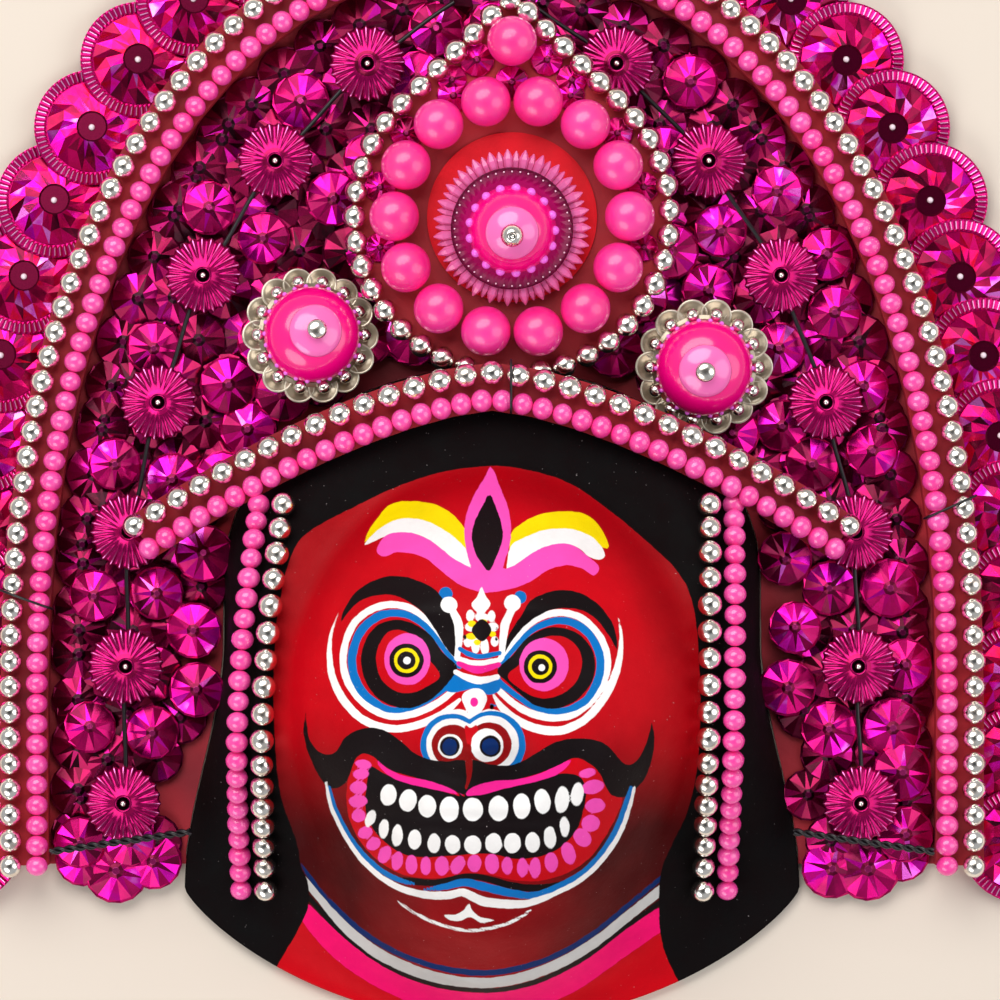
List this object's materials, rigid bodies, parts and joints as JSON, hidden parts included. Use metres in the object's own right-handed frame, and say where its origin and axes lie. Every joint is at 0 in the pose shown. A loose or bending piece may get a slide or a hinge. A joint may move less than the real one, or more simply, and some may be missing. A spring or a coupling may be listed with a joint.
{
  "type": "ravana mask",
  "caption": "Hollow painted papier-mache demon mask for dance theatre, with an arched headdress of magenta plastic discs, pink and silver bead strings and a teardrop crest; lies on its back.",
  "frame": {"origin": "on the surface the mask lies on, under the middle of its outline", "axes": "+Z is the way the face looks, +Y runs from the chin up to the crown, +X is the picture's right"},
  "size_m": [0.4732, 0.4821, 0.1124],
  "materials": {
    "face_paint": "gloss enamel",
    "red_card": "satin",
    "magenta_plastic": "gloss",
    "pink_bead": "gloss",
    "hot_pink_plastic": "gloss",
    "clear_magenta": "clear gloss",
    "champagne_plastic": "pearl",
    "silvered_bead": "mirror",
    "black_wire": "satin"
  },
  "bodies": {
    "root": {"face_shell": "face_paint", "backing_board": "red_card", "band_strip": "red_card", "brow_strip": "red_card", "crest_card": "red_card", "halo_discs": "magenta_plastic", "spangle_field": "magenta_plastic", "band_silver_beads": "silvered_bead", "band_pink_beads": "pink_bead", "brow_silver_beads": "silvered_bead", "brow_pink_beads": "pink_bead", "crest_silver_beads": "silvered_bead", "crest_felt": "hot_pink_plastic", "crest_wheel": "pink_bead", "crest_clear_disc": "clear_magenta", "crest_acorn": "hot_pink_plastic", "crest_finial": "silvered_bead", "large_bead_top": "pink_bead", "star_left_1": "magenta_plastic", "star_left_2": "magenta_plastic", "star_left_3": "magenta_plastic", "star_left_4": "magenta_plastic", "star_left_5": "magenta_plastic", "star_left_6": "magenta_plastic", "star_left_7": "magenta_plastic", "side_pink_beads_left": "pink_bead", "side_silver_beads_left": "silvered_bead", "star_wire_left": "black_wire", "tie_wire_left": "black_wire", "boss_dish_left": "champagne_plastic", "boss_dome_left": "hot_pink_plastic", "boss_stud_left": "silvered_bead", "star_right_1": "magenta_plastic", "star_right_2": "magenta_plastic", "star_right_3": "magenta_plastic", "star_right_4": "magenta_plastic", "star_right_5": "magenta_plastic", "star_right_6": "magenta_plastic", "star_right_7": "magenta_plastic", "side_pink_beads_right": "pink_bead", "side_silver_beads_right": "silvered_bead", "star_wire_right": "black_wire", "tie_wire_right": "black_wire", "boss_dish_right": "champagne_plastic", "boss_dome_right": "hot_pink_plastic", "boss_stud_right": "silvered_bead", "large_bead_01": "pink_bead", "large_bead_02": "pink_bead", "large_bead_03": "pink_bead", "large_bead_04": "pink_bead", "large_bead_05": "pink_bead", "large_bead_06": "pink_bead", "large_bead_07": "pink_bead", "large_bead_08": "pink_bead", "large_bead_09": "pink_bead", "large_bead_10": "pink_bead", "large_bead_11": "pink_bead", "large_bead_12": "pink_bead", "large_bead_13": "pink_bead", "large_bead_14": "pink_bead"}
  },
  "joints": []
}
